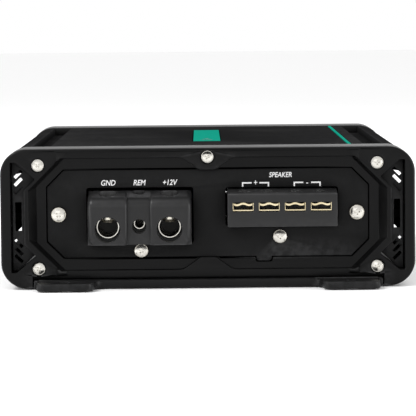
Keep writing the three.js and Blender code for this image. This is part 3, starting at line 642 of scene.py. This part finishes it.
def make_set_screws():
    nodes = [n for n in frame["nodes"] if n.endswith("_set_screw") or n.startswith("speaker_screw_")]
    for node in sorted(nodes):
        low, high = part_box(node)
        screw = set_screw_shape((high.x - low.x) / 2, high.z - low.z)
        translate(screw, ((low.x + high.x) / 2, (low.y + high.y) / 2, low.z))
        finish_piece(screw, node + "_detail", node, replaced=[node])


# ---------------------------------------------------------------- terminals
BARREL_EDGE = 0.18 * MM
POD_HALF = 7.6 * MM
POD_REACH = 4 * MM  # rounded as far back as this behind the panel's face
POD_OUTER_EDGE = 2.0 * MM
POD_INNER_EDGE = 1.1 * MM
MOUTH_EDGE = 0.4 * MM
MOUTH_DROP = 0.8 * MM  # an entry's centre is this far below its barrel's middle
MOUTH_CLEAR = 0.3 * MM
REMOTE_SET_BACK = 2.5 * MM
CLAMP_EDGE = 0.12 * MM
CONTACT_MARGIN = 1.6 * MM
CONTACT_DEPTH = 5.2 * MM
CONTACT_INSET = 0.4 * MM
CONTACT_LIFT = 3.05 * MM
CONTACT_THICKNESS = 0.7 * MM
CONTACT_WAVE = 0.28 * MM
CONTACT_FALL = 0.1 * MM


def make_barrels():
    for node in ("ground_wire_barrel", "remote_wire_barrel", "positive_wire_barrel"):
        bm = merged_copy(node)
        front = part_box(node)[0].y
        round_edges(bm, BARREL_EDGE, 2, lambda e: all(abs(v.co.y - front) < 1e-5 for v in e.verts))
        finish_piece(bm, node + "_detail", node, replaced=[node])


def entry_mouths(face):
    """Centre x and z, radius and face y of the three round wire entries."""
    mouths = []
    for name, set_back in (("ground", 0), ("positive", 0), ("remote", REMOTE_SET_BACK)):
        near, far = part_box(name + "_wire_barrel")
        centre = (near + far) / 2
        radius = (far.x - near.x) / 2 + MOUTH_CLEAR
        mouths.append((centre.x, centre.z - MOUTH_DROP, radius, face + set_back))
    return mouths


def on_mouth(edge, mouths):
    """Whether both ends of an edge lie on the rim of a wire entry."""
    ends = [vertex.co for vertex in edge.verts]
    for x, z, radius, y in mouths:
        on_rim = all(abs(math.hypot(end.x - x, end.z - z) - radius) < 0.1 * MM for end in ends)
        if on_rim and all(abs(end.y - y) < 0.05 * MM for end in ends):
            return True
    return False


def make_power_block():
    """Two rounded pods with the remote entry set back between them."""
    node = "power_terminal_block"
    block = merged_copy(node)
    low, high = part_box(node)
    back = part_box("front_panel")[0].y + POD_REACH
    mouths = entry_mouths(low.y)
    outer = [low.x, high.x]
    pods = [centre_of(f"{name}_wire_barrel").x for name in ("ground", "positive")]
    inner = [x + half for x in pods for half in (-POD_HALF, POD_HALF)]
    inner = [side for side in inner if all(abs(side - edge) > 0.5 * MM for edge in outer)]

    def on_side(edge, sides):
        ends = [vertex.co for vertex in edge.verts]
        at_side = any(all(abs(end.x - side) < 0.02 * MM for end in ends) for side in sides)
        underside = all(abs(end.z - low.z) < 0.05 * MM for end in ends)
        return edge.is_convex and at_side and not underside and all(end.y < back for end in ends)

    round_edges(block, MOUTH_EDGE, 2, lambda edge: on_mouth(edge, mouths))
    round_edges(block, POD_OUTER_EDGE, 4, lambda edge: on_side(edge, outer))
    round_edges(block, POD_INNER_EDGE, 3, lambda edge: on_side(edge, inner))
    finish_piece(block, node + "_detail", node, replaced=[node])


def contact_strip(wide):
    """A springy strip with a soft wave across it."""
    strip = bmesh.new()
    bmesh.ops.create_grid(strip, x_segments=28, y_segments=6, size=0.5)
    bmesh.ops.scale(strip, vec=(wide, CONTACT_DEPTH, 1), verts=strip.verts)
    for vertex in strip.verts:
        wave = CONTACT_WAVE * math.cos(vertex.co.x / wide * math.tau * 1.5)
        vertex.co.z = wave - CONTACT_FALL * abs(vertex.co.y / CONTACT_DEPTH)
    bmesh.ops.solidify(strip, geom=strip.faces, thickness=CONTACT_THICKNESS)
    return strip


def make_clamp_contacts():
    """The clamps, each with a contact strip above its floor."""
    for index in range(1, 5):
        node = f"speaker_clamp_{index}"
        low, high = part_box(node)
        rounded_copy(node, CLAMP_EDGE)
        strip = contact_strip((high.x - low.x) - CONTACT_MARGIN)
        deep = low.y + CONTACT_DEPTH / 2 + CONTACT_INSET
        translate(strip, ((low.x + high.x) / 2, deep, low.z + CONTACT_LIFT))
        finish_piece(strip, f"speaker_contact_{index}", "speaker_terminal_block", "brass")


# ---------------------------------------------------------------- markings
LETTER_SHARE = 0.7  # height of a capital over the font's size
LETTER_WEIGHT = 0.02
LETTER_SQUEEZE = 0.84
INK = 0.02 * MM
PRINT_LIFT = 0.01 * MM


def lettering(name, words, centre, height, side, slant=0.2):
    """Printed words on an end panel, centred on a point of its face, as a thin mesh."""
    curve = bpy.data.curves.new(name, "FONT")
    curve.body = words
    curve.size = height / LETTER_SHARE
    curve.shear = slant
    curve.offset = LETTER_WEIGHT * height
    curve.align_x = "CENTER"
    curve.align_y = "CENTER"
    curve.extrude = INK
    curve.resolution_u = 4
    source = bpy.data.objects.new(name + "_source", curve)
    bpy.context.scene.collection.objects.link(source)
    mesh = bpy.data.meshes.new_from_object(source.evaluated_get(bpy.context.evaluated_depsgraph_get()))
    bpy.data.objects.remove(source)
    bpy.data.curves.remove(curve)
    bm = bmesh.new()
    bm.from_mesh(mesh)
    bpy.data.meshes.remove(mesh)
    bmesh.ops.remove_doubles(bm, verts=bm.verts, dist=1e-7)
    bmesh.ops.scale(bm, vec=(LETTER_SQUEEZE, 1, 1), verts=bm.verts)
    rotate(bm, QUARTER, "X")
    place_facing(bm, side, centre)
    return bm


POWER_WORDS = {"ground": "GND", "remote": "REM", "positive": "+12V"}
POWER_WORD_RISE = 3.1 * MM
POWER_WORD_HEIGHT = 2.1 * MM
SPEAKER_WORD_RISE = 2.7 * MM
SPEAKER_WORD_SHIFT = 0.5 * MM
SPEAKER_WORD_HEIGHT = 1.9 * MM
SIGN_HEIGHT = 2.2 * MM
SIGN_DROP = 0.3 * MM
BRACKET_RISE = 2.6 * MM
BRACKET_LINE = 0.55 * MM
BRACKET_GAP = 1.5 * MM
BRACKET_DROP = 1.7 * MM
BADGE_DASHES = (5.0 * MM, 3.4 * MM, 1.8 * MM)
DASH_START = 7 * MM
DASH_PITCH = 5 * MM
DASH_LENGTH = 2 * MM
DASH_DEPTH = 0.3 * MM
DASH_EDGE = 0.1 * MM


def make_power_marks(face):
    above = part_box("power_terminal_block")[1].z + POWER_WORD_RISE
    for name, text in POWER_WORDS.items():
        middle = centre_of(f"{name}_wire_barrel").x
        mark = lettering(name, text, (middle, face, above), POWER_WORD_HEIGHT, -1)
        finish_piece(mark, f"{name}_mark", "front_panel", "marking_white")


def bracket_shapes(first, last, face, top, label):
    """A line over two entries, broken round its sign, with a short drop at each end."""
    half, front = BRACKET_LINE / 2, face - BRACKET_LINE / 9
    low, foot = top - BRACKET_LINE, top - BRACKET_DROP
    centre = (first + last) / 2
    return [
        box_shape((first - half, front, low), (centre - BRACKET_GAP, face, top)),
        box_shape((centre + BRACKET_GAP, front, low), (last + half, face, top)),
        box_shape((first - half, front, foot), (first + half, face, low)),
        box_shape((last - half, front, foot), (last + half, face, low)),
        lettering("sign", label, (centre, face, top - SIGN_DROP), SIGN_HEIGHT, -1, 0),
    ]


def make_speaker_marks(face):
    low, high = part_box("speaker_terminal_block")
    top = high.z + BRACKET_RISE
    place = ((low.x + high.x) / 2 - SPEAKER_WORD_SHIFT, face, top + SPEAKER_WORD_RISE)
    mark = lettering("speaker", "SPEAKER", place, SPEAKER_WORD_HEIGHT, -1)
    finish_piece(mark, "speaker_mark", "front_panel", "marking_white")
    centres = [centre_of(f"speaker_clamp_{index}").x for index in range(1, 5)]
    for name, label, pair in (("plus", "+", centres[:2]), ("minus", "-", centres[2:])):
        bars = bracket_shapes(*pair, face, top, label)
        finish_piece(join_shapes(*bars), f"speaker_{name}_bracket", "front_panel", "marking_white")


def make_front_markings():
    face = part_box("front_panel")[0].y - PRINT_LIFT
    make_power_marks(face)
    make_speaker_marks(face)


def make_badge_mark():
    """A plain row of three dashes let into the badge near its front end."""
    low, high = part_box("badge")
    middle = (low.x + high.x) / 2
    dashes = []
    for index, wide in enumerate(BADGE_DASHES):
        start = low.y + DASH_START + index * DASH_PITCH
        near = (middle - wide / 2, start, high.z - DASH_DEPTH)
        far = (middle + wide / 2, start + DASH_LENGTH, high.z)
        dashes.append(box_shape(near, far, DASH_EDGE))
    finish_piece(join_shapes(*dashes), "badge_mark", "badge", "component_black")


# ---------------------------------------------------------------- control end
KNOB_STEPS = 72
KNOB_FACE = ((0.72, 0.12), (0.82, 0.3), (0.93, 0.75))  # share of the radius, depth in mm
KNOB_GRIP = 9 * MM
KNOB_SHAFT = 1.6 * MM
FLUTE_SHARE = 0.95
POINTER_HALF = 0.35 * MM
POINTER_TOP = 0.02 * MM
POINTER_FOOT = 0.4 * MM
POINTER_SPAN = (0.3, 0.8)  # its start and end as shares of the knob's radius
TICK_STEP = math.radians(30)
TICK_HALF = 0.12 * MM
TICK_CLEAR = 1.1 * MM
TICK_DEPTH = 0.01 * MM
TICK_RAISE = 0.04 * MM
LONG_TICK = 1.5 * MM
SHORT_TICK = 0.9 * MM
# node: word, rise above the piece and letter height in mm
REAR_WORDS = {
    "gain_knob": ("GAIN", 4.3, 1.8),
    "crossover_knob": ("FREQ", 4.3, 1.8),
    "bass_boost_knob": ("BASS", 4.3, 1.8),
    "input_jack_block": ("INPUT", 2.2, 1.8),
    "filter_switch": ("FILTER", 2.4, 1.4),
    "remote_level_socket": ("REMOTE", 2.0, 1.4),
    "status_light": ("POWER", 1.9, 1.4),
}
JACK_RADIUS = 4.2 * MM
JACK_BORE = 3.0 * MM
JACK_FLANGE = 0.4 * MM  # the shell goes this far into the panel
PIN_COUNT = 6
PIN_START = 2.6 * MM
PIN_PITCH = 1.16 * MM
PIN_HALF = 0.2 * MM
PIN_BACK = 9 * MM
PIN_FRONT = 2 * MM
PIN_LOW = 1.4 * MM
PIN_HIGH = 1.8 * MM


def knob_profile(radius, length):
    face = [(0, KNOB_FACE[0][1] * MM)] + [(radius * share, depth * MM) for share, depth in KNOB_FACE]
    grip = [(radius, 1.6 * MM), (radius, KNOB_GRIP - 0.4 * MM), (radius * 0.95, KNOB_GRIP)]
    shaft = [(KNOB_SHAFT, KNOB_GRIP), (KNOB_SHAFT, length), (0, length)]
    return face + grip + shaft


def cut_flutes(body, radius):
    """Draws in two of every four lines of the grip."""
    for vertex in body.verts:
        reach = math.hypot(vertex.co.x, vertex.co.z)
        step = round(math.atan2(vertex.co.z, vertex.co.x) / math.tau * KNOB_STEPS)
        if reach > radius * 0.9 and step % 4 in (0, 1):
            vertex.co.x *= FLUTE_SHARE
            vertex.co.z *= FLUTE_SHARE


def make_knob(node):
    """A fluted knob with a white pointer; its shaft runs inwards."""
    low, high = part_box(node)
    radius = (high.z - low.z) / 2
    body = turned_shape(knob_profile(radius, high.y - low.y), KNOB_STEPS)
    cut_flutes(body, radius)
    centre = ((low.x + high.x) / 2, high.y, (low.z + high.z) / 2)
    place_facing(body, 1, centre)
    finish_piece(body, node + "_detail", node, replaced=[node])
    start, end = (radius * share for share in POINTER_SPAN)
    pointer = box_shape((-POINTER_HALF, POINTER_TOP, start), (POINTER_HALF, POINTER_FOOT, end))
    place_facing(pointer, 1, centre)
    finish_piece(pointer, node + "_pointer", node, "marking_white")


def make_dial_ticks(node):
    """Eleven ticks round a knob, longer at the middle and the ends of its turn."""
    low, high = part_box(node)
    start = (high.z - low.z) / 2 + TICK_CLEAR
    centre = Vector(((low.x + high.x) / 2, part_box("rear_panel")[1].y, (low.z + high.z) / 2))
    ticks = []
    for step in range(-5, 6):
        size = SHORT_TICK if step % 5 else LONG_TICK
        tick = box_shape((-TICK_HALF, -TICK_DEPTH, start), (TICK_HALF, TICK_RAISE, start + size))
        rotate(tick, step * TICK_STEP, "Y")
        place_facing(tick, 1, centre)
        ticks.append(tick)
    finish_piece(join_shapes(*ticks), node + "_dial", "rear_panel", "marking_white")


def make_rear_markings():
    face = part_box("rear_panel")[1].y + PRINT_LIFT
    for node, (word, rise, height) in REAR_WORDS.items():
        low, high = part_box(node)
        mark = lettering(node, word, ((low.x + high.x) / 2, face, high.z + rise * MM), height * MM, 1)
        finish_piece(mark, node + "_mark", "rear_panel", "marking_white")


def jack_shell(length):
    """A plated tube with a rounded lip and a flange against the panel."""
    lip = JACK_RADIUS - 0.2 * MM
    back = length + JACK_FLANGE
    profile = [(JACK_BORE, 0.3 * MM), (JACK_BORE + 0.2 * MM, 0), (JACK_RADIUS - 0.45 * MM, 0)]
    profile += [(lip, 0.3 * MM), (lip, length - 2.2 * MM), (JACK_RADIUS, length - 2 * MM)]
    profile += [(JACK_RADIUS, back), (JACK_BORE, back), (JACK_BORE, 0.3 * MM)]
    return turned_shape(profile, 40)


def jack_insert(length):
    """The coloured ring inside a shell."""
    hole = 0.9 * MM
    profile = [(hole, 2.0 * MM), (1.1 * MM, 1.6 * MM), (JACK_BORE - 0.25 * MM, 1.6 * MM)]
    profile += [(JACK_BORE, 1.9 * MM), (JACK_BORE, length), (hole, length), (hole, 2.0 * MM)]
    return turned_shape(profile, 32)


def jack_pin(length):
    return turned_shape([(0, 5 * MM), (0.8 * MM, 5 * MM), (0.85 * MM, length), (0, length)], 20)


def make_jacks():
    """Four plated jack shells with coloured inserts on one moulded base."""
    node = "input_jack_block"
    low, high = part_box(node)
    panel_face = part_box("rear_panel")[1].y
    base = box_shape(low, (high.x, panel_face - 0.3 * MM, high.z), 0.3 * MM)
    finish_piece(base, "jack_base", node, "component_black", replaced=[node])
    length = high.y - panel_face
    rows = {"lower": low.z + JACK_RADIUS, "upper": high.z - JACK_RADIUS}
    shells, pins = [], []
    inserts = {"lower": [], "upper": []}
    for x in (low.x + JACK_RADIUS, high.x - JACK_RADIUS):
        for row, z in rows.items():
            made = (jack_shell(length), jack_insert(length), jack_pin(length))
            for shape, group in zip(made, (shells, inserts[row], pins)):
                place_facing(shape, 1, (x, high.y, z))
                group.append(shape)
    finish_piece(join_shapes(*shells, *pins), "jack_shells", node, "brass")
    finish_piece(join_shapes(*inserts["lower"]), "jack_inserts_lower", node, "jack_red")
    finish_piece(join_shapes(*inserts["upper"]), "jack_inserts_upper", node, "jack_white")


def make_socket_contacts():
    low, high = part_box("remote_level_socket")
    pins = []
    for index in range(PIN_COUNT):
        x = low.x + PIN_START + index * PIN_PITCH
        near = (x - PIN_HALF, high.y - PIN_BACK, low.z + PIN_LOW)
        far = (x + PIN_HALF, high.y - PIN_FRONT, low.z + PIN_HIGH)
        pins.append(box_shape(near, far))
    finish_piece(join_shapes(*pins), "socket_contacts", "remote_level_socket", "brass")


def make_status_lens():
    low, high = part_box("status_light")
    radius, length = (high.x - low.x) / 2, high.y - low.y
    bulge = radius * 1.2
    dome = arc_points((0, bulge), bulge, -90, -34, 8)
    lens = turned_shape(dome + [(radius, 1 * MM), (radius, length), (0, length)], 32)
    place_facing(lens, 1, ((low.x + high.x) / 2, high.y, (low.z + high.z) / 2))
    finish_piece(lens, "status_lens", "status_light", replaced=["status_light"])


# ---------------------------------------------------------------- electronics
TRANSFORMER_TURNS = 56
TRANSFORMER_WIRE = 1.1 * MM
CHOKE_TURNS = 26
CHOKE_WIRE = 0.9 * MM
WIRE_SIDES = 6
WIRE_STEPS = 16
GROOVE = 2.4 * MM
BOARD_MARGIN = 6 * MM
PART_COUNT = 60
PART_CLEAR = 6 * MM
PART_HALF = 2 * MM
PART_EDGE = 0.15 * MM
PART_SEED = 7
# width, depth and height of the small parts in mm
PART_SIZES = ((1.6, 3.2, 0.6), (3.2, 1.6, 0.6), (5, 4, 1.6), (8.7, 3.9, 1.7), (2.5, 2.5, 3))


def wire_turn(tube, wire, middle, angle):
    """One turn of wire round a ring core, that far round the ring."""
    loop = bmesh.new()
    bmesh.ops.create_circle(loop, segments=WIRE_SIDES, radius=wire / 2)
    translate(loop, (tube - wire * 0.9, 0, 0))
    bmesh.ops.spin(
        loop, geom=loop.verts[:] + loop.edges[:], cent=ORIGIN, axis=(0, 1, 0), dvec=ORIGIN,
        angle=math.tau, steps=WIRE_STEPS, use_merge=True, use_duplicate=False,
    )
    rotate(loop, QUARTER, "X")
    translate(loop, (middle, 0, 0))
    rotate(loop, QUARTER, "X")
    rotate(loop, angle, "Y")
    return loop


def make_wound_ring(node, turns, wire):
    """A ring core with one layer of enamelled wire."""
    low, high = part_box(node)
    tube = (high.z - low.z) / 2
    middle = min(high.x - low.x, high.y - low.y) / 2 - tube
    core = turned_shape(arc_points((middle, 0), tube - wire * 1.6, 0, 360, 16), 48)
    coil = [wire_turn(tube, wire, middle, index * math.tau / turns) for index in range(turns)]
    winding = join_shapes(*coil)
    place = Matrix.Translation((low + high) / 2) @ Matrix.Rotation(QUARTER, 4, "X")
    for shape in (core, winding):
        bmesh.ops.transform(shape, matrix=place, verts=shape.verts)
    finish_piece(winding, node + "_winding", node, replaced=[node])
    finish_piece(core, node + "_core", node, "component_black")


def sleeve_profile(radius, height):
    """A capacitor's sleeve with a rounded foot, a crimped groove and a rolled top."""
    top = height - 0.1 * MM
    profile = [(0, 0.3 * MM), (radius * 0.9, 0.3 * MM), (radius, 0.9 * MM), (radius, GROOVE)]
    profile += [(radius * 0.93, GROOVE + 0.7 * MM), (radius, GROOVE + 1.4 * MM)]
    profile += [(radius, height - 0.6 * MM), (radius * 0.92, height), (radius * 0.8, top), (0, top)]
    return profile


def lid_profile(radius, height):
    edge, low, top = radius * 0.8, height - 0.3 * MM, height - 0.05 * MM
    return [(0, low), (edge, low), (edge, top), (0, top)]


def make_capacitors():
    for node in ("filter_capacitor_left", "filter_capacitor_right"):
        low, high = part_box(node)
        radius, height = (high.x - low.x) / 2, high.z - low.z
        foot = ((low.x + high.x) / 2, (low.y + high.y) / 2, low.z)
        place = Matrix.Translation(foot) @ Matrix.Rotation(QUARTER, 4, "X")
        can, lid = turned_shape(sleeve_profile(radius, height)), turned_shape(lid_profile(radius, height))
        for shape in (can, lid):
            bmesh.ops.transform(shape, matrix=place, verts=shape.verts)
        finish_piece(can, node + "_sleeve", node, "sleeve_blue", replaced=[node])
        finish_piece(lid, node + "_top", node, "can_metal")


def large_parts():
    """Boxes of the pieces that stand on the board."""
    names = ["power_transformer", "output_choke", "filter_capacitor_left", "filter_capacitor_right"]
    return [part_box(name) for name in names + ["output_module_left", "output_module_right"]]


def too_near(x, y, low, high):
    beside = low.x - PART_CLEAR < x < high.x + PART_CLEAR
    return beside and low.y - PART_CLEAR < y < high.y + PART_CLEAR


def make_board_parts():
    """Small parts soldered on the board, kept clear of the large ones."""
    low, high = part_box("circuit_board")
    busy = large_parts()
    chance = random.Random(PART_SEED)
    parts = []
    while len(parts) < PART_COUNT:
        x = chance.uniform(low.x + BOARD_MARGIN, high.x - BOARD_MARGIN)
        y = chance.uniform(low.y + BOARD_MARGIN, high.y - BOARD_MARGIN)
        wide, deep, tall = chance.choice(PART_SIZES)
        if any(too_near(x, y, *box) for box in busy):
            continue
        busy.append((Vector((x - PART_HALF, y - PART_HALF, 0)), Vector((x + PART_HALF, y + PART_HALF, 0))))
        near = (x - wide / 2 * MM, y - deep / 2 * MM, high.z)
        far = (x + wide / 2 * MM, y + deep / 2 * MM, high.z + tall * MM)
        parts.append(box_shape(near, far, PART_EDGE, 1))
    finish_piece(join_shapes(*parts), "board_parts", "circuit_board", "component_black")


# ---------------------------------------------------------------- build
for node_name, node_object in frame["nodes"].items():
    node_object.data.materials.clear()
    node_object.data.materials.append(MATERIALS[SLOT_OF[node_name]])

# node: edge radius in mm
ROUNDED = {
    "front_end_cap": 0.4, "rear_end_cap": 0.4, "front_panel": 0.2, "rear_panel": 0.2, "base_plate": 0.6,
    "heatsink": 0.3, "speaker_terminal_block": 0.35,
    "front_vent_grille_left": 0.15, "front_vent_grille_right": 0.15,
    "rear_vent_grille_left": 0.15, "rear_vent_grille_right": 0.15,
    "remote_level_socket": 0.25, "filter_switch": 0.2, "badge": 0.15,
    "output_module_left": 0.25, "output_module_right": 0.25,
}
for node_name, radius in ROUNDED.items():
    rounded_copy(node_name, radius * MM)

make_camera()
make_stage()
make_screws()
make_set_screws()
make_barrels()
make_power_block()
make_clamp_contacts()
make_front_markings()
make_badge_mark()
for knob in ("gain_knob", "crossover_knob", "bass_boost_knob"):
    make_knob(knob)
    make_dial_ticks(knob)
make_rear_markings()
make_jacks()
make_socket_contacts()
make_status_lens()
make_wound_ring("power_transformer", TRANSFORMER_TURNS, TRANSFORMER_WIRE)
make_wound_ring("output_choke", CHOKE_TURNS, CHOKE_WIRE)
make_capacitors()
make_board_parts()
